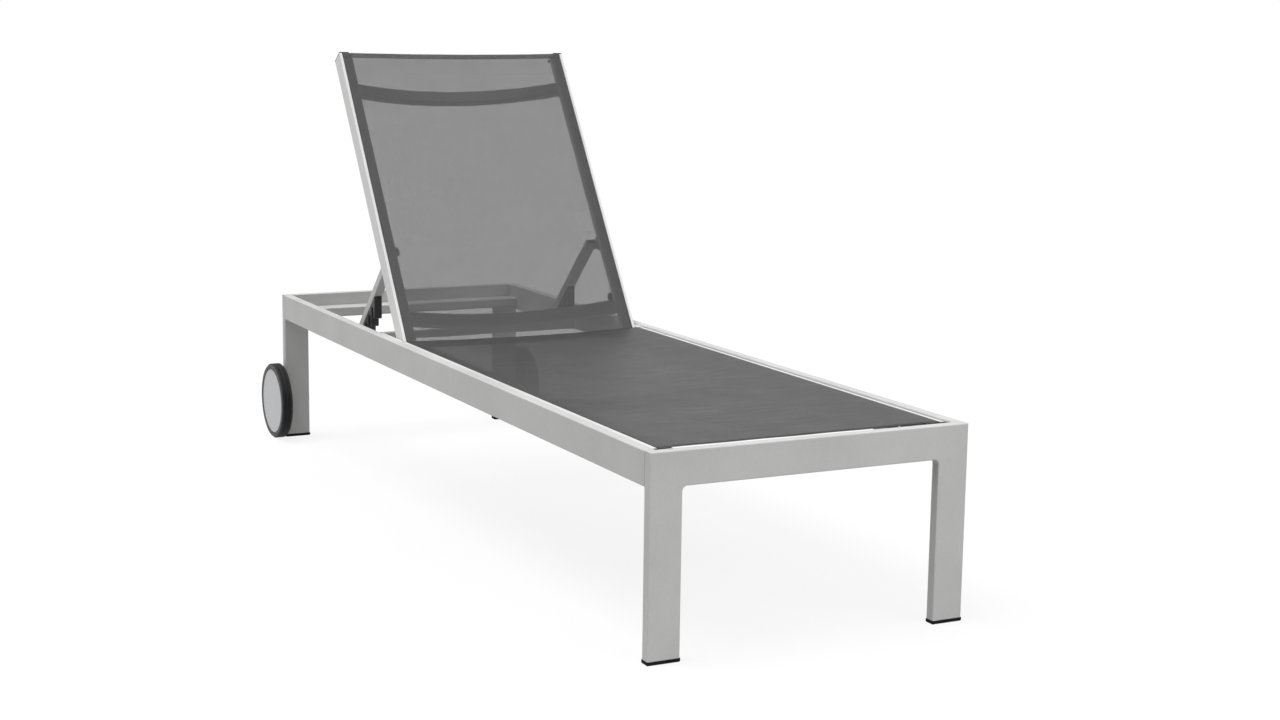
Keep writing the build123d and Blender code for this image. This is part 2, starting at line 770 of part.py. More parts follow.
with BuildPart() as rack_screw:
    with BuildSketch(screw_plane):
        Circle(rack_screw_radius)
    extrude(amount=rack_screw_length)
    with BuildSketch(screw_plane):
        Circle(rack_screw_head_radius)
    extrude(amount=-rack_screw_head)
    chamfer(rack_screw.faces().sort_by(Axis.Y)[0].edges(), rack_screw_head / 2)
    with BuildSketch(screw_plane.offset(-rack_screw_head)):
        Rectangle(recess_length, recess_width)
        Rectangle(recess_width, recess_length)
    extrude(amount=recess_depth, mode=Mode.SUBTRACT)
keep_pair(rack_screw.part, "rack_screw")


# Wheels. Tyre: a ring with bevelled shoulders and fine grooves round the tread
tread_pitch = (tyre_width - 2 * tyre_bevel) / (groove_count + 1)
tyre_plane = Plane(origin=(-wheel_outer_x, axle_y, axle_z), x_dir=(1, 0, 0), z_dir=(0, -1, 0))
with BuildPart() as tyre:
    with BuildSketch(tyre_plane) as ring:
        with Locations((0, tyre_inner_radius)):
            Rectangle(tyre_width, tyre_thickness, align=(Align.MIN, Align.MIN))
        chamfer(ring.vertices().group_by(Axis.Y)[-1], tyre_bevel)
        with Locations((tyre_width / 2, wheel_radius)):
            with GridLocations(tread_pitch, 0, groove_count, 1):
                Rectangle(groove_depth * sqrt(2), groove_depth * sqrt(2), rotation=45, mode=Mode.SUBTRACT)
    revolve(axis=Axis(origin=(0, axle_y, axle_z), direction=(1, 0, 0)))
keep_pair(tyre.part, "tyre")


# Hub: a rim, a web, a boss and spokes on the web's inner side
web_outer_x = bush_outer_x
with BuildPart() as hub:
    with BuildSketch(across(-rim_outer_x)):
        with Locations((axle_y, axle_z)):
            Circle(tyre_inner_radius)
            Circle(tyre_inner_radius - rim_thickness, mode=Mode.SUBTRACT)
    extrude(amount=rim_outer_x - rim_inner_x)
    with BuildSketch(across(-web_outer_x)):
        with Locations((axle_y, axle_z)):
            Circle(tyre_inner_radius - rim_thickness / 2)
    extrude(amount=web_thickness)
    with BuildSketch(across(-web_outer_x)):
        with Locations((axle_y, axle_z)):
            Circle(boss_radius)
    extrude(amount=bush_outer_x - bush_inner_x)
    with BuildSketch(across(-web_outer_x)):
        with Locations((axle_y, axle_z)):
            with PolarLocations(0, spoke_count):
                Rectangle(tyre_inner_radius - rim_thickness / 2, spoke_width,
                          align=(Align.MIN, Align.CENTER))
    extrude(amount=(bush_outer_x - bush_inner_x) / 2)
    with BuildSketch(across(-web_outer_x)):
        with Locations((axle_y, axle_z)):
            Circle(bush_radius)
    extrude(amount=bush_outer_x - bush_inner_x, mode=Mode.SUBTRACT)
keep_pair(hub.part, "wheel_hub")

with BuildPart() as bush:
    with BuildSketch(across(-bush_outer_x)):
        with Locations((axle_y, axle_z)):
            Circle(bush_radius)
            Circle(axle_radius + running_gap, mode=Mode.SUBTRACT)
    extrude(amount=bush_outer_x - bush_inner_x)
keep_pair(bush.part, "wheel_bush")

with BuildPart() as cover:
    with BuildSketch(across(-wheel_outer_x + cover_recess)):
        with Locations((axle_y, axle_z)):
            Circle(tyre_inner_radius - gap)
    extrude(amount=cover_thickness)
    chamfer(cover.faces().sort_by(Axis.X)[0].edges(), cover_edge)
keep_pair(cover.part, "hub_cover")


# Axles: a bolt from inside each head leg, a spacer and a nut under the hub cover
with BuildPart() as axle:
    with BuildSketch(across(-nut_outer_x)):
        with Locations((axle_y, axle_z)):
            Circle(axle_radius)
    extrude(amount=nut_outer_x - leg_inner_x)
    with BuildSketch(across(-leg_inner_x)):
        with Locations((axle_y, axle_z)):
            RegularPolygon(axle_head_radius, hex_sides)
    extrude(amount=axle_head_thickness)
keep_group(axle.part, "axle_bolts")

with BuildPart() as axle_nut:
    with BuildSketch(across(-nut_outer_x)):
        with Locations((axle_y, axle_z)):
            RegularPolygon(axle_nut_radius, hex_sides)
            Circle(axle_radius, mode=Mode.SUBTRACT)
    extrude(amount=axle_nut_thickness)
keep_group(axle_nut.part, "axle_nuts")

with BuildPart() as spacer:
    with BuildSketch(across(-wheel_inner_x)):
        with Locations((axle_y, axle_z)):
            Circle(spacer_radius)
            Circle(axle_radius, mode=Mode.SUBTRACT)
    extrude(amount=wheel_stand_off)
keep_group(spacer.part, "axle_spacers")
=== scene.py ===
import bpy
import bmesh
import json
from math import cos, pi, radians, sin
from mathutils import Matrix, Vector


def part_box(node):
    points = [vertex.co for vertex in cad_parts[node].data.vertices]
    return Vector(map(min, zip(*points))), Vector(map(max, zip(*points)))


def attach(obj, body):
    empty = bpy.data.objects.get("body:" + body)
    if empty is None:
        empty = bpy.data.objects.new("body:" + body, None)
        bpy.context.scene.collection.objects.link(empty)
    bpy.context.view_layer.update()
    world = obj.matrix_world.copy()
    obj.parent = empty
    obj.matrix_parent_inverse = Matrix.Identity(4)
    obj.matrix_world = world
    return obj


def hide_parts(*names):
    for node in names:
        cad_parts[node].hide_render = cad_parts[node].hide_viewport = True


# Adjustable sun lounger, dressed over its CAD frame. Metres, Z up, foot end towards -Y.

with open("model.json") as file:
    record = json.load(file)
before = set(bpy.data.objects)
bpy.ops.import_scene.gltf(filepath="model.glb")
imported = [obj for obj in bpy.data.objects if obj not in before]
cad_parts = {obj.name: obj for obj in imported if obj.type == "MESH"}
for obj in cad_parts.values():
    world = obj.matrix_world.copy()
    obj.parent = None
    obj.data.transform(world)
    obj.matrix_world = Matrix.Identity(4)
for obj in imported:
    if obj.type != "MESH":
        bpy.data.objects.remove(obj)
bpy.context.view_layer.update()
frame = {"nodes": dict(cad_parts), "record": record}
nodes = frame["nodes"]
scene = bpy.context.scene
print("lounger: frame loaded,", len(nodes), "nodes")

mm = 0.001
usual = (0.3, 0.7)     # most values of a noise lie between these; a noise is (scale, detail, roughness)


# camera, matched to the photograph's perspective (picture of 1280 x 720)
viewpoint = {"place": (-1.75296, -3.84731, 1.04036), "yaw": 26.872, "pitch": 9.620, "roll": 0.796,
             "lens": 56.826, "sensor": 36, "farClip": 200}


def placeCamera(spec):
    yaw, pitch, roll = (radians(spec[k]) for k in ("yaw", "pitch", "roll"))
    ahead = Vector((sin(yaw) * cos(pitch), cos(yaw) * cos(pitch), -sin(pitch)))
    right = Vector((cos(yaw), -sin(yaw), 0))
    up = right.cross(ahead)
    tiltedRight = right * cos(roll) + up * sin(roll)
    tiltedUp = up * cos(roll) - right * sin(roll)
    data = bpy.data.cameras.new("photoCamera")
    data.lens = spec["lens"]
    data.sensor_width = spec["sensor"]
    data.clip_end = spec["farClip"]
    camera = bpy.data.objects.new("photoCamera", data)
    scene.collection.objects.link(camera)
    turn = Matrix((tiltedRight, tiltedUp, -ahead)).transposed()
    camera.matrix_world = Matrix.Translation(spec["place"]) @ turn.to_4x4()
    scene.camera = camera


placeCamera(viewpoint)
print("lounger: camera placed")


# small helpers for node materials
def startMaterial(name):
    material = bpy.data.materials.new(name)
    material.use_nodes = True
    tree = material.node_tree
    return material, tree, tree.nodes["Principled BSDF"]


def addNode(tree, kind, **settings):
    node = tree.nodes.new(kind)
    for key, value in settings.items():
        setattr(node, key, value)
    return node


def feed(tree, source, socket):
    if isinstance(source, (int, float)):
        socket.default_value = source
    else:
        tree.links.new(source, socket)


def calc(tree, operation, a, b=0.0, clamp=False):
    node = addNode(tree, "ShaderNodeMath", operation=operation, use_clamp=clamp)
    feed(tree, a, node.inputs[0])
    feed(tree, b, node.inputs[1])
    return node.outputs[0]


def remap(tree, value, fromLow, fromHigh, toLow, toHigh):
    node = addNode(tree, "ShaderNodeMapRange")
    for socket, source in zip(node.inputs, (value, fromLow, fromHigh, toLow, toHigh)):
        feed(tree, source, socket)
    return node.outputs[0]


def splitAxes(tree, vector):
    node = addNode(tree, "ShaderNodeSeparateXYZ")
    tree.links.new(vector, node.inputs[0])
    return node.outputs


def objectPlace(tree, centre=(0, 0, 0), stretch=(1, 1, 1)):
    place = addNode(tree, "ShaderNodeTexCoord").outputs["Object"]
    mapping = addNode(tree, "ShaderNodeMapping")
    mapping.inputs["Scale"].default_value = stretch
    mapping.inputs["Location"].default_value = [-c * s for c, s in zip(centre, stretch)]
    tree.links.new(place, mapping.inputs["Vector"])
    return mapping.outputs[0]


def noise(tree, place, values):
    node = addNode(tree, "ShaderNodeTexNoise")
    tree.links.new(place, node.inputs["Vector"])
    for socket, value in zip(("Scale", "Detail", "Roughness"), values):
        node.inputs[socket].default_value = value
    return node.outputs[0]


# the mix node's colours are its inputs 6 and 7 and its output 2
def blendColours(tree, factor, low, high):
    node = addNode(tree, "ShaderNodeMix", data_type="RGBA")
    feed(tree, factor, node.inputs["Factor"])
    for socket, colour in ((node.inputs[6], low), (node.inputs[7], high)):
        if isinstance(colour, tuple):
            socket.default_value = (*colour, 1)
        else:
            tree.links.new(colour, socket)
    return node.outputs[2]


# a wheel's own place, and the distance from its axle's line
def wheelPlace(tree, centre):
    place = objectPlace(tree, centre=centre)
    axes = splitAxes(tree, place)
    ySquare = calc(tree, "MULTIPLY", axes["Y"], axes["Y"])
    zSquare = calc(tree, "MULTIPLY", axes["Z"], axes["Z"])
    return place, calc(tree, "SQRT", calc(tree, "ADD", ySquare, zSquare))


# a sine wave of one turn for each pitch
def wave(tree, along, pitch):
    return calc(tree, "SINE", calc(tree, "MULTIPLY", along, 2 * pi / pitch))


def raiseBump(tree, shader, height, strength, distance):
    bump = addNode(tree, "ShaderNodeBump")
    bump.inputs["Strength"].default_value = strength
    bump.inputs["Distance"].default_value = distance
    tree.links.new(height, bump.inputs["Height"])
    tree.links.new(bump.outputs[0], shader.inputs["Normal"])


# satin powder coat: soft cloudiness, a fine grain, and a painted highlight that makes the edges a little
# brighter
silver = {"dark": (0.585, 0.586, 0.580), "light": (0.668, 0.669, 0.662), "edge": (0.80, 0.80, 0.79),
          "metallic": 0.08, "gloss": 0.12, "rough": (0.46, 0.58),
          "clouds": (7.0, 3.0, 0.55), "cloudShare": 0.85,
          "flecks": (225.0, 1.0, 0.5), "fleckRange": (0.35, 0.65), "fleckShare": (-0.08, 0.15),
          "grain": (900.0, 2.0, 0.6), "bump": 0.12, "height": 0.05 * mm,
          "edgeRadius": 1.6 * mm, "edgeLean": (0.995, 0.86), "edgeShare": 0.55, "edgeFlecks": (0.6, 1.0)}
# painted light: the sling's channel extrusions get a lighter, glossier copy of the same silver
paintedLightSilver = {**silver, "dark": (0.725, 0.725, 0.719), "light": (0.805, 0.805, 0.798),
                "edge": (0.90, 0.90, 0.89), "metallic": 0.1, "gloss": 0.25, "rough": (0.36, 0.48)}


# where it is given, the last argument puts a painted shade, a dark colour, on the part within a distance of
# the middle and below a height
def silverPaint(name, spec, webShade=None):
    material, tree, shader = startMaterial(name)
    place = objectPlace(tree)
    clouds, grain, flecks = (noise(tree, place, spec[key]) for key in ("clouds", "grain", "flecks"))
    shade = calc(tree, "ADD", remap(tree, clouds, *usual, 0.0, spec["cloudShare"]),
                 remap(tree, flecks, *spec["fleckRange"], *spec["fleckShare"]), clamp=True)
    paint = blendColours(tree, shade, spec["dark"], spec["light"])
    # near an edge the rounded normal leans away from the face's own; there a painted highlight lightens the
    # paint towards the edge colour
    rounded = addNode(tree, "ShaderNodeBevel", samples=4)
    rounded.inputs["Radius"].default_value = spec["edgeRadius"]
    flat = addNode(tree, "ShaderNodeNewGeometry").outputs["Normal"]
    lean = addNode(tree, "ShaderNodeVectorMath", operation="DOT_PRODUCT")
    tree.links.new(rounded.outputs[0], lean.inputs[0])
    tree.links.new(flat, lean.inputs[1])
    paintedEdgeHighlight = calc(tree, "MULTIPLY",
                    remap(tree, lean.outputs["Value"], *spec["edgeLean"], 0.0, spec["edgeShare"]),
                    remap(tree, flecks, *usual, *spec["edgeFlecks"]))
    paint = blendColours(tree, paintedEdgeHighlight, paint, spec["edge"])
    # painted shade on the inner web, under the sling
    if webShade:
        axes = splitAxes(tree, place)
        fromMiddle = calc(tree, "ABSOLUTE", axes["X"])
        web = remap(tree, fromMiddle, *webShade["within"], 1.0, 0.0)
        below = remap(tree, axes["Z"], *webShade["below"], 1.0, 0.0)
        paint = blendColours(tree, calc(tree, "MULTIPLY", web, below), paint, webShade["colour"])
    tree.links.new(paint, shader.inputs["Base Color"])
    tree.links.new(remap(tree, clouds, *usual, *spec["rough"]), shader.inputs["Roughness"])
    shader.inputs["Metallic"].default_value = spec["metallic"]
    shader.inputs["Specular IOR Level"].default_value = spec["gloss"]
    raiseBump(tree, shader, grain, spec["bump"], spec["height"])
    return material


# moulded plastic with a fine grain and faint scuffs, in its several colours
plastic = {"rough": 0.5, "gloss": 0.5, "patches": (28.0, 4.0, 0.6), "patchShare": 0.6,
           "scratches": (60.0, 3.0, 0.7), "scratchStretch": (1, 1, 9), "scratchRange": (0.52, 0.7),
           "scuffs": 0.25,
           "grain": (1400.0, 2.0, 0.6), "grainRange": (0.4, 0.7), "grainShare": 0.4,
           "bump": 0.35, "height": 0.06 * mm}
blackPlastic = {**plastic, "dark": (0.012, 0.012, 0.013), "light": (0.030, 0.030, 0.032), "gloss": 0.02}
rackPlastic = {**plastic, "dark": (0.014, 0.014, 0.015), "light": (0.036, 0.036, 0.038), "rough": 0.36,
               "gloss": 0.4}
hubPlastic = {**plastic, "dark": (0.040, 0.040, 0.043), "light": (0.075, 0.075, 0.078)}
whitePlastic = {**plastic, "dark": (0.62, 0.62, 0.59), "light": (0.74, 0.74, 0.71), "rough": 0.45,
                "scuffs": 0.1}
threadPlastic = {**plastic, "dark": (0.045, 0.046, 0.048), "light": (0.085, 0.086, 0.088), "rough": 0.6,
                 "scuffs": 0.1}


def grainedPlastic(name, spec):
    material, tree, shader = startMaterial(name)
    place = objectPlace(tree)
    grain = noise(tree, place, spec["grain"])
    patches = noise(tree, place, spec["patches"])
    scratches = noise(tree, objectPlace(tree, stretch=spec["scratchStretch"]), spec["scratches"])
    shade = calc(tree, "ADD", remap(tree, patches, *usual, 0.0, spec["patchShare"]),
                 remap(tree, grain, *spec["grainRange"], 0.0, spec["grainShare"]), clamp=True)
    tree.links.new(blendColours(tree, shade, spec["dark"], spec["light"]), shader.inputs["Base Color"])
    wear = remap(tree, scratches, *spec["scratchRange"], 0.0, spec["scuffs"])
    tree.links.new(calc(tree, "ADD", wear, spec["rough"], clamp=True), shader.inputs["Roughness"])
    shader.inputs["Specular IOR Level"].default_value = spec["gloss"]
    raiseBump(tree, shader, grain, spec["bump"], spec["height"])
    return material


# matt rubber: dusty paler sidewalls, a dark tread with fine ribs, round the axle's centre
tyre = {"dark": (0.021, 0.021, 0.022), "light": (0.047, 0.047, 0.048), "dust": (0.13, 0.13, 0.128),
        "gloss": 0.2, "rough": (0.55, 0.75), "wallDust": (0.7, 1.0),
        "dusting": (36.0, 5.0, 0.65), "dustRange": (0.42, 0.75), "dustShare": 0.8,
        "fine": (1100.0, 3.0, 0.65), "fineRange": (0.45, 0.7), "fineShare": 0.3, "fineHeight": 0.25,
        "wallTo": 90 * mm, "wallBlend": 1.5 * mm, "treadBlend": 1 * mm,
        "ribPitch": 2.7 * mm, "bump": 0.8, "height": 0.5 * mm}


def tyreRubber(name, spec, centre):
    material, tree, shader = startMaterial(name)
    place, radius = wheelPlace(tree, centre)
    fine = noise(tree, place, spec["fine"])
    dust = noise(tree, place, spec["dusting"])
    shade = calc(tree, "ADD", remap(tree, dust, *spec["dustRange"], 0.0, spec["dustShare"]),
                 remap(tree, fine, *spec["fineRange"], 0.0, spec["fineShare"]), clamp=True)
    rubber = blendColours(tree, shade, spec["dark"], spec["light"])
    wall = remap(tree, radius, spec["wallTo"] - spec["wallBlend"], spec["wallTo"], 1.0, 0.0)
    wall = calc(tree, "MULTIPLY", wall, remap(tree, dust, *usual, *spec["wallDust"]))
    tree.links.new(blendColours(tree, wall, rubber, spec["dust"]), shader.inputs["Base Color"])
    tree.links.new(remap(tree, dust, *usual, *spec["rough"]), shader.inputs["Roughness"])
    shader.inputs["Specular IOR Level"].default_value = spec["gloss"]
    tread = remap(tree, radius, spec["wallTo"], spec["wallTo"] + spec["treadBlend"], 0.0, 1.0)
    ribs = calc(tree, "MULTIPLY", wave(tree, splitAxes(tree, place)["X"], spec["ribPitch"]), tread)
    height = calc(tree, "ADD", ribs, calc(tree, "MULTIPLY", fine, spec["fineHeight"]))
    raiseBump(tree, shader, height, spec["bump"], spec["height"])
    return material


# satin disc with the faint rings of a moulded hub cover, and a painted shade that makes it a little darker at
# its rim
cover = {"dark": (0.605, 0.61, 0.623), "light": (0.695, 0.702, 0.715), "rough": (0.38, 0.52),
         "clouds": (22.0, 4.0, 0.6), "cloudShare": (0.35, 1.0), "rim": (58 * mm, 79 * mm), "rimPaintedShade": 0.35,
         "ringPitch": 1.2 * mm, "ringShare": 0.3, "grain": (1300.0, 2.0, 0.6),
         "bump": 0.15, "height": 0.06 * mm}


def turnedDisc(name, spec, centre):
    material, tree, shader = startMaterial(name)
    place, radius = wheelPlace(tree, centre)
    clouds = noise(tree, place, spec["clouds"])
    grain = noise(tree, place, spec["grain"])
    # painted shade: the disc darkens towards its rim, next to the tyre
    rim = remap(tree, radius, *spec["rim"], 0.0, spec["rimPaintedShade"])
    shade = calc(tree, "SUBTRACT", remap(tree, clouds, *usual, *spec["cloudShare"]), rim, clamp=True)
    tree.links.new(blendColours(tree, shade, spec["dark"], spec["light"]), shader.inputs["Base Color"])
    tree.links.new(remap(tree, clouds, *usual, *spec["rough"]), shader.inputs["Roughness"])
    rings = calc(tree, "MULTIPLY", wave(tree, radius, spec["ringPitch"]), spec["ringShare"])
    raiseBump(tree, shader, calc(tree, "ADD", rings, grain), spec["bump"], spec["height"])
    return material


# steel with fine lines, bright for the bolts and blackened for the screws of the racks
steel = {"dark": (0.50, 0.50, 0.49), "light": (0.66, 0.66, 0.65), "metallic": 0.95, "rough": (0.22, 0.42),
         "spots": (420.0, 2.0, 0.5), "lines": (160.0, 3.0, 0.6), "lineStretch": (1, 14, 14),
         "bump": 0.1, "height": 0.05 * mm}
blackSteel = {**steel, "dark": (0.020, 0.020, 0.021), "light": (0.060, 0.060, 0.060), "metallic": 0.6}


def brushedSteel(name, spec):
    material, tree, shader = startMaterial(name)
    lines = noise(tree, objectPlace(tree, stretch=spec["lineStretch"]), spec["lines"])
    spots = noise(tree, objectPlace(tree), spec["spots"])
    tree.links.new(blendColours(tree, lines, spec["dark"], spec["light"]), shader.inputs["Base Color"])
    tree.links.new(remap(tree, spots, *usual, *spec["rough"]), shader.inputs["Roughness"])
    shader.inputs["Metallic"].default_value = spec["metallic"]
    raiseBump(tree, shader, lines, spec["bump"], spec["height"])
    return material


# Coated yarns woven open enough to see through. The cloth's own map is in metres.
# The cloth has a real thickness, so that its holes close at a grazing view.
weave = {"warpPitch": 1.5 * mm, "weftPitch": 1.9 * mm, "thick": 0.24 * mm, "open": 0.04, "softness": 0.03,
         "slub": 0.25, "streaks": (260.0, 2.0, 0.6), "streakStretch": 0.035, "streakMiddle": 0.5,
         "streakShade": 2.2, "shadeRange": (-0.4, 1.6), "crossing": 0.5,
         "yarnDark": (0.0415, 0.0415, 0.0425), "yarnLight": (0.0775, 0.0775, 0.0795),
         "rough": (0.42, 0.58), "bump": 0.35, "height": 0.18 * mm}
# turned and stitched edges are tighter and look paler
hemWeave = {**weave, "open": -0.07, "yarnDark": (0.062, 0.062, 0.063), "yarnLight": (0.112, 0.112, 0.114)}


def wovenMesh(name, spec):
    material, tree, shader = startMaterial(name)
    cloth = addNode(tree, "ShaderNodeUVMap", uv_map="cloth").outputs[0]
    axes = splitAxes(tree, cloth)
    yarn = calc(tree, "MAXIMUM", wave(tree, axes["X"], spec["warpPitch"]),
                wave(tree, axes["Y"], spec["weftPitch"]))
    # slubs: streaks along the warp and along the weft that close or open the holes
    streaks = []
    for stretch in ((1.0, spec["streakStretch"], 1.0), (spec["streakStretch"], 1.0, 1.0)):
        mapping = addNode(tree, "ShaderNodeMapping")
        mapping.inputs["Scale"].default_value = stretch
        tree.links.new(cloth, mapping.inputs["Vector"])
        streaks.append(noise(tree, mapping.outputs[0], spec["streaks"]))
    slubs = calc(tree, "ADD", *(calc(tree, "SUBTRACT", streak, spec["streakMiddle"]) for streak in streaks))
    threshold = calc(tree, "ADD", calc(tree, "MULTIPLY", slubs, -spec["slub"]), spec["open"])
    solid = calc(tree, "SUBTRACT", yarn, threshold)
    tree.links.new(remap(tree, solid, -spec["softness"], spec["softness"], 0.0, 1.0), shader.inputs["Alpha"])
    # over and under: alternate crossings show the warp or the weft
    overUnder = calc(tree, "MULTIPLY", wave(tree, axes["X"], 2 * spec["warpPitch"]),
                     wave(tree, axes["Y"], 2 * spec["weftPitch"]))
    height = calc(tree, "ADD", yarn, calc(tree, "MULTIPLY", overUnder, spec["crossing"]))
    shade = calc(tree, "ADD", height, calc(tree, "MULTIPLY", slubs, spec["streakShade"]))
    shade = remap(tree, shade, *spec["shadeRange"], 0.0, 1.0)
    tree.links.new(blendColours(tree, shade, spec["yarnDark"], spec["yarnLight"]), shader.inputs["Base Color"])
    tree.links.new(remap(tree, streaks[1], *usual, *spec["rough"]), shader.inputs["Roughness"])
    raiseBump(tree, shader, height, spec["bump"], spec["height"])
    return material


# the middle of a node's box, moved to the lounger's middle plane
def middleOf(box):
    low, high = box
    return 0, (low[1] + high[1]) / 2, (low[2] + high[2]) / 2


axleCentre = middleOf(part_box("wheel_bush_left"))
finishes = {
    "silver_aluminium": silverPaint("satinSilver", silver),
    "black_plastic": grainedPlastic("blackNylon", blackPlastic),
    "white_nylon": grainedPlastic("whiteSpline", whitePlastic),
    "tyre_rubber": tyreRubber("tyreRubber", tyre, axleCentre),
    "dark_plastic": grainedPlastic("darkHub", hubPlastic),
    "pale_plastic": turnedDisc("paleHubCover", cover, axleCentre),
    "stainless_steel": brushedSteel("stainless", steel),
}
clothFinish = wovenMesh("slingCloth", weave)
hemFinish = wovenMesh("slingHem", hemWeave)
# painted light: the back rails, hinge plates and seat rails take the lighter copy of the silver
paintedLightCoat = silverPaint("paintedLightSilver", paintedLightSilver)
paintedLightNodes = ("back_rail_left", "back_rail_right", "hinge_plate_left", "hinge_plate_right")
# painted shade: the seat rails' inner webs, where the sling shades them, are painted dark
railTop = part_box("seat_rail_left")[1][2]
seatWebPaintedShade = {"within": (268.4 * mm, 268.8 * mm), "below": (railTop - 2.6 * mm, railTop - 2 * mm),
             "colour": (0.11, 0.11, 0.11)}
seatCoat = silverPaint("seatRailSilver", paintedLightSilver, seatWebPaintedShade)
rackNylon = grainedPlastic("rackNylon", rackPlastic)
blackScrew = brushedSteel("blackScrew", blackSteel)

slotOf = {part["node"]: part["material_slot"] for part in frame["record"]["subparts"]}
for name, item in nodes.items():
    finish = finishes.get(slotOf[name])
    if name in paintedLightNodes:
        finish = paintedLightCoat
    elif name.startswith("seat_rail_") and "cap" not in name:
        finish = seatCoat
    elif name.startswith("rack_screw"):
        finish = blackScrew
    elif name.startswith("prop_rack"):
        finish = rackNylon
    if finish is None:     # the slings are replaced below
        continue
    item.data.materials.clear()
    item.data.materials.append(finish)
print("lounger: finishes on the CAD nodes")


def finishPiece(name, bm, material, smooth=True):
    mesh = bpy.data.meshes.new(name)
    bm.to_mesh(mesh)
    bm.free()
    mesh.materials.append(material)
    for face in mesh.polygons:
        face.use_smooth = smooth
    piece = bpy.data.objects.new(name, mesh)
    scene.collection.objects.link(piece)
    return piece


weld = 0.001 * mm     # corners nearer than this are one


# a profile of (distance from the middle, radius), spun round a line across the lounger, left and right
def turnPair(profile, centre, steps):
    bm = bmesh.new()
    for side in (-1, 1):
        corners = [bm.verts.new((side * x, centre[1], centre[2] + radius)) for x, radius in profile]
        edges = [bm.edges.new(pair) for pair in zip(corners, corners[1:])]
        bmesh.ops.spin(bm, geom=corners + edges, cent=centre, axis=(1, 0, 0), angle=2 * pi, steps=steps,
                       use_merge=True)
    bmesh.ops.remove_doubles(bm, verts=bm.verts, dist=weld)
    bmesh.ops.recalc_face_normals(bm, faces=bm.faces)
    return bm


# a low dome in front of a face, from its crown to its rim
domeBends = (0, 0.35, 0.7, 1.05, 1.3, pi / 2)


def domeProfile(face, height, radius):
    return [(face - height * cos(bend), radius * sin(bend)) for bend in domeBends]


# a plain round end with a chamfer
def endProfile(end, radius, chamfer):
    return [(end - chamfer, radius), (end, radius - chamfer), (end, 0)]


# axle bolts: a low round head inside the leg, a plain shank out to the wheel
axle = {"headRadius": 8.5 * mm, "headHeight": 1.8 * mm, "shank": 5 * mm, "from": 250 * mm,
        "chamfer": 0.8 * mm, "steps": 40}
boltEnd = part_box("axle_bolts")[1][0]
profile = domeProfile(axle["from"], axle["headHeight"], axle["headRadius"]) + [(axle["from"], axle["shank"])]
profile += endProfile(boltEnd, axle["shank"], axle["chamfer"])
bm = turnPair(profile, axleCentre, axle["steps"])
axleBolts = finishPiece("axleBolts", bm, finishes["stainless_steel"], smooth=False)
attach(axleBolts, "frame")
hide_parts("axle_bolts")

# black buffers on the back rails, which show beside the rails' broad faces
buffer = {"radius": 8.5 * mm, "from": 261 * mm, "neck": 247 * mm, "dome": 3 * mm, "chamfer": 1 * mm,
          "steps": 32}
profile = domeProfile(buffer["neck"], buffer["dome"], buffer["radius"])
profile += endProfile(buffer["from"], buffer["radius"], buffer["chamfer"])
bm = turnPair(profile, middleOf(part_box("back_studs")), buffer["steps"])
backBuffers = finishPiece("backBuffers", bm, finishes["black_plastic"], smooth=False)
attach(backBuffers, "back")
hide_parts("back_studs")
print("lounger: axle bolts and buffers turned")


# slings, each laid from its flat cut; edge, slot and half are distances from the lounger's middle
seatCloth = {"edge": 252 * mm, "slot": 276.7 * mm, "sag": 4 * mm, "lift": 0.8 * mm, "bend": 1.2 * mm,
             "tuck": 2.0 * mm, "start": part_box("seat_sling")[0][1], "end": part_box("seat_sling")[1][1],
             "below": 1.3 * mm, "bow": 14 * mm, "hem": 9 * mm}
backCloth = {"edge": 247 * mm, "slot": 269.2 * mm, "sag": 5 * mm, "lift": 0.8 * mm, "bend": 1.2 * mm,
             "tuck": 2.0 * mm, "start": -12 * mm, "end": 733.5 * mm,
             "angle": 55.7, "front": 19 * mm, "hem": 12 * mm}
# faces across span, rail, turn and tuck, and one row for each rowPitch along the cloth
laying = {"steps": (26, 3, 4, 1), "rowPitch": 12 * mm, "hemLift": -0.7 * mm,
          "ripple": 0.35 * mm, "rippleWaves": ((41, 17), (13, -29))}
stitching = {"pitch": 3.4 * mm, "length": 2.7 * mm, "thick": 0.55 * mm, "lift": 0.45 * mm, "inset": 2 * mm}


# path of a sling across its rails: a shallow sag, the flat of the rail, a turn into the slot
class Section:
    def __init__(self, spec):
        self.edge, self.slot, self.sag = spec["edge"], spec["slot"], spec["sag"]
        self.lift, self.bend = spec["lift"], spec["bend"]
        self.span = self.edge * (1 + 2 / 3 * (self.sag / self.edge) ** 2)     # length of the sagging half
        self.flat = self.span + self.slot - self.bend - self.edge
        self.turned = self.flat + self.bend * pi / 2
        self.half = self.turned + spec["tuck"]

    # from the distance along the cloth to the place across and the height
    def at(self, s):
        side = -1 if s < 0 else 1
        s = abs(s)
        if s <= self.span:
            x = s * self.edge / self.span
            return side * x, self.lift - self.sag * (1 - (x / self.edge) ** 2)
        if s <= self.flat:
            return side * (self.edge + s - self.span), self.lift
        if s <= self.turned:
            angle = (s - self.flat) / self.bend
            across = self.slot - self.bend + self.bend * sin(angle)
            return side * across, self.lift - self.bend * (1 - cos(angle))
        return side * self.slot, self.lift - self.bend - (s - self.turned)

    # distances from the middle of the cloth, closer together where it bends
    def stations(self, steps):
        side = [0.0]
        for end, count in zip((self.span, self.flat, self.turned, self.half), steps):
            start = side[-1]
            side += [start + (end - start) * (i + 1) / count for i in range(count)]
        return [-s for s in reversed(side[1:])] + side


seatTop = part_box("seat_sling")[1][2] - seatCloth["below"]
hinge = Vector(middleOf(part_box("hinge_bolts")))
recline = radians(backCloth["angle"])
alongBack = Vector((0, cos(recline), sin(recline)))
outOfBack = Vector((0, -sin(recline), cos(recline)))


def seatPlace(x, along, out):
    return Vector((x, along, seatTop + out))


def backPlace(x, along, out):
    return hinge + Vector((x, 0, 0)) + alongBack * along + outOfBack * (backCloth["front"] + out)


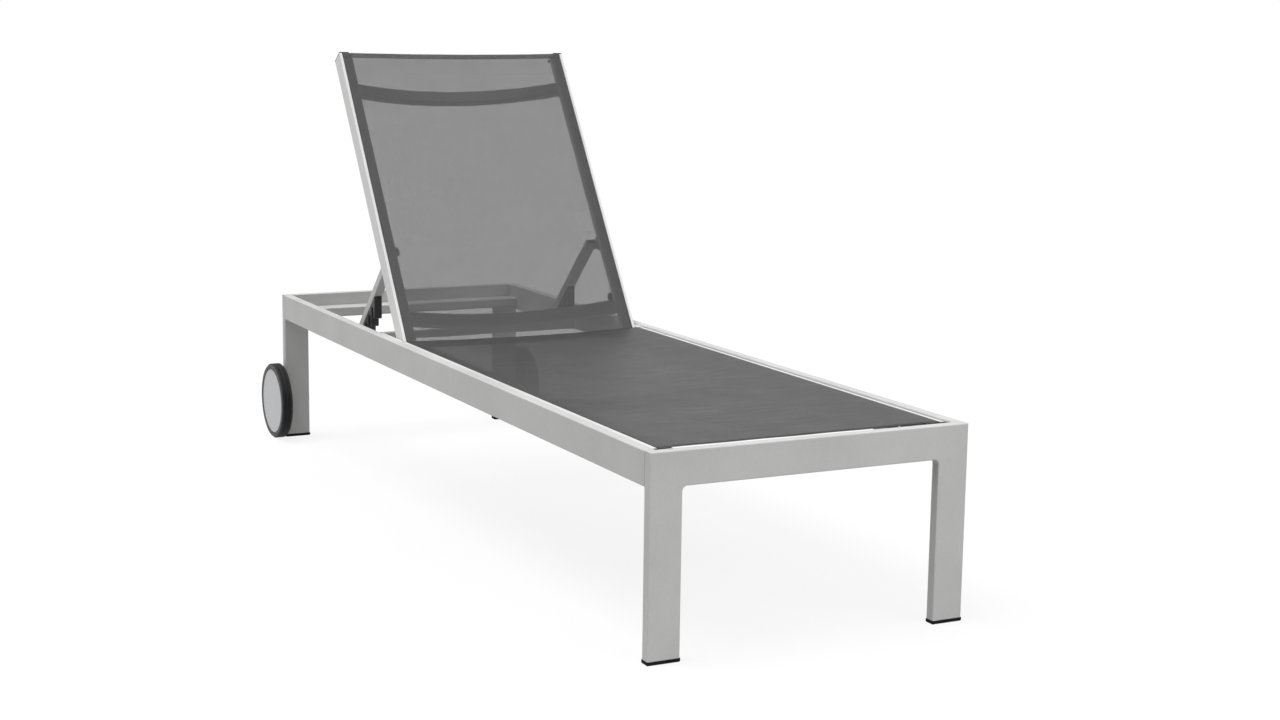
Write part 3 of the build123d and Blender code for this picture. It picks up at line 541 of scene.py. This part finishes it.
# a grid cut to the flat cloth, mapped over the section; toWorld turns (across, along, out) into place
def layCloth(name, section, toWorld, start, end, material, lift=0.0, bowed=0.0):
    stations = section.stations(laying["steps"])
    rows = max(2, round((end - start) / laying["rowPitch"]))
    bm = bmesh.new()
    bmesh.ops.create_grid(bm, x_segments=len(stations) - 1, y_segments=rows, size=1.0)
    layer = bm.loops.layers.uv.new("cloth")
    flatPlace = {}
    for v in bm.verts:
        s = stations[round((v.co.x + 1) / 2 * (len(stations) - 1))]
        share = (v.co.y + 1) / 2
        front = start + bowed * (1 - min(1.0, abs(s) / section.span) ** 2)
        along = front + (end - front) * share
        flatPlace[v] = (s, along)
    for face in bm.faces:
        for loop in face.loops:
            loop[layer].uv = flatPlace[loop.vert]
    for v, (s, along) in flatPlace.items():
        x, out = section.at(s)
        ripple = laying["ripple"]
        for alongRate, acrossRate in laying["rippleWaves"]:
            ripple *= sin(along * alongRate + s * acrossRate)
        ripple *= 1 - (abs(s) / section.half) ** 4     # the edges lie still
        v.co = toWorld(x, along, out + lift + ripple)
    bmesh.ops.recalc_face_normals(bm, faces=bm.faces)
    outward = toWorld(0, start, 1) - toWorld(0, start, 0)
    if sum(face.normal.dot(outward) for face in bm.faces) < 0:
        bmesh.ops.reverse_faces(bm, faces=bm.faces)
    piece = finishPiece(name, bm, material)
    wall = piece.modifiers.new("thickness", "SOLIDIFY")
    wall.thickness = weave["thick"]
    wall.offset = -1
    return piece


def layHem(name, section, toWorld, start, end):
    return layCloth(name, section, toWorld, start, end, hemFinish, lift=laying["hemLift"])


seatSection = Section(seatCloth)
seatStart, seatEnd = seatCloth["start"], seatCloth["end"]
seatSling = layCloth("seatSling", seatSection, seatPlace, seatStart, seatEnd, clothFinish,
                     bowed=seatCloth["bow"])
seatFrontHem = layHem("seatFrontHem", seatSection, seatPlace, seatStart, seatStart + seatCloth["hem"])
for v in seatFrontHem.data.vertices:     # the hem follows the bowed front edge
    reach = max(0.0, 1 - (v.co.x / seatCloth["edge"]) ** 2)
    v.co.y += seatCloth["bow"] * reach
seatRearHem = layHem("seatRearHem", seatSection, seatPlace, seatEnd - seatCloth["hem"], seatEnd)

backSection = Section(backCloth)
backStart, backEnd = backCloth["start"], backCloth["end"]
backSling = layCloth("backSling", backSection, backPlace, backStart, backEnd, clothFinish)
backTopHem = layHem("backTopHem", backSection, backPlace, backEnd - backCloth["hem"], backEnd)
backLowHem = layHem("backLowHem", backSection, backPlace, backStart, backStart + backCloth["hem"])
print("lounger: slings laid")


# lock stitches across the cloth, each one a small bead lying along the seam
def stitchRow(bm, section, seamAt, toWorld, spec):
    def seamPlace(s):
        x, out = section.at(s)
        return toWorld(x, seamAt(s), out + spec["lift"])

    size = Matrix.Diagonal((spec["length"] / 2, spec["thick"] / 2, spec["thick"] / 2, 1))
    count = int(2 * section.span / spec["pitch"])
    for i in range(count):
        s = -section.span + (i + 0.5) * 2 * section.span / count
        here = seamPlace(s)
        ahead = (seamPlace(s + spec["pitch"] / 4) - here).normalized()
        turn = ahead.to_track_quat("X", "Z").to_matrix().to_4x4()
        bmesh.ops.create_icosphere(bm, subdivisions=1, radius=1.0,
                                   matrix=Matrix.Translation(here) @ turn @ size)


def frontSeam(s):
    bow = seatCloth["bow"] * (1 - min(1.0, abs(s) / seatSection.span) ** 2)
    return seatStart + bow + seatCloth["hem"] - stitching["inset"]


threadFinish = grainedPlastic("hemThread", threadPlastic)
bm = bmesh.new()
stitchRow(bm, seatSection, frontSeam, seatPlace, stitching)
stitchRow(bm, seatSection, lambda s: seatEnd - seatCloth["hem"] + stitching["inset"], seatPlace, stitching)
seatStitches = finishPiece("seatStitches", bm, threadFinish)
bm = bmesh.new()
stitchRow(bm, backSection, lambda s: backEnd - backCloth["hem"] + stitching["inset"], backPlace, stitching)
stitchRow(bm, backSection, lambda s: backStart + backCloth["hem"] - stitching["inset"], backPlace, stitching)
backStitches = finishPiece("backStitches", bm, threadFinish)
print("lounger: hems stitched")

for piece in (seatSling, seatFrontHem, seatRearHem, seatStitches):
    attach(piece, "frame")
for piece in (backSling, backTopHem, backLowHem, backStitches):
    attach(piece, "back")
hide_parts("seat_sling")
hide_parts("back_sling")


# floor and light: white where nothing shades it, and a soft shadow under the lounger
studio = {"skyLow": 0.2, "skyHigh": 0.74,
          "floorSize": 30, "floorColour": 0.32, "floorSeen": 0.97, "floorWhite": 0.85, "floorRough": 0.9,
          "tint": (3.0, 2.0, 0.5), "tintShare": (0.98, 1.02),
          "softKey": {"level": 0.57, "comesFrom": (-0.38, 0.07, 0.92), "spread": 35},
          "frontFill": {"level": 0.28, "comesFrom": (0.36, -0.85, 0.38), "spread": 40}}


def seenDirectly(tree):
    path = addNode(tree, "ShaderNodeLightPath")
    return calc(tree, "MAXIMUM", path.outputs["Is Camera Ray"],
                calc(tree, "MAXIMUM", path.outputs["Is Glossy Ray"], path.outputs["Is Transmission Ray"]))


def buildFloor(spec):
    bm = bmesh.new()
    bmesh.ops.create_grid(bm, x_segments=1, y_segments=1, size=spec["floorSize"])
    material, tree, shader = startMaterial("studioFloor")
    shader.inputs["Roughness"].default_value = spec["floorRough"]
    shader.inputs["Specular IOR Level"].default_value = 0.0
    tint = noise(tree, objectPlace(tree), spec["tint"])
    seen = seenDirectly(tree)
    level = remap(tree, seen, 0, 1, spec["floorColour"], spec["floorSeen"])
    level = calc(tree, "MULTIPLY", level, remap(tree, tint, *usual, *spec["tintShare"]))
    tree.links.new(level, shader.inputs["Base Color"])
    white = addNode(tree, "ShaderNodeEmission")
    mix = addNode(tree, "ShaderNodeMixShader")
    tree.links.new(calc(tree, "MULTIPLY", seen, spec["floorWhite"]), mix.inputs[0])
    tree.links.new(shader.outputs[0], mix.inputs[1])
    tree.links.new(white.outputs[0], mix.inputs[2])
    tree.links.new(mix.outputs[0], tree.nodes["Material Output"].inputs["Surface"])
    finishPiece("studioFloor", bm, material, smooth=False)


def lightStudio(spec):
    world = bpy.data.worlds.new("studioSky")
    world.use_nodes = True
    tree = world.node_tree
    background = tree.nodes["Background"]
    background.inputs["Color"].default_value = (1, 1, 1, 1)
    direction = splitAxes(tree, addNode(tree, "ShaderNodeTexCoord").outputs["Generated"])
    glow = remap(tree, direction["Z"], 0, 1, spec["skyLow"], spec["skyHigh"])
    tree.links.new(remap(tree, seenDirectly(tree), 0, 1, glow, 1.0), background.inputs["Strength"])
    scene.world = world
    for name in ("softKey", "frontFill"):
        light = bpy.data.lights.new(name, "SUN")
        light.energy = pi * spec[name]["level"]
        light.angle = radians(spec[name]["spread"])
        lamp = bpy.data.objects.new(name, light)
        lamp.rotation_euler = Vector(spec[name]["comesFrom"]).to_track_quat("Z", "Y").to_euler()
        scene.collection.objects.link(lamp)


buildFloor(studio)
lightStudio(studio)
scene.view_settings.view_transform = "Standard"
print("lounger: studio lit")
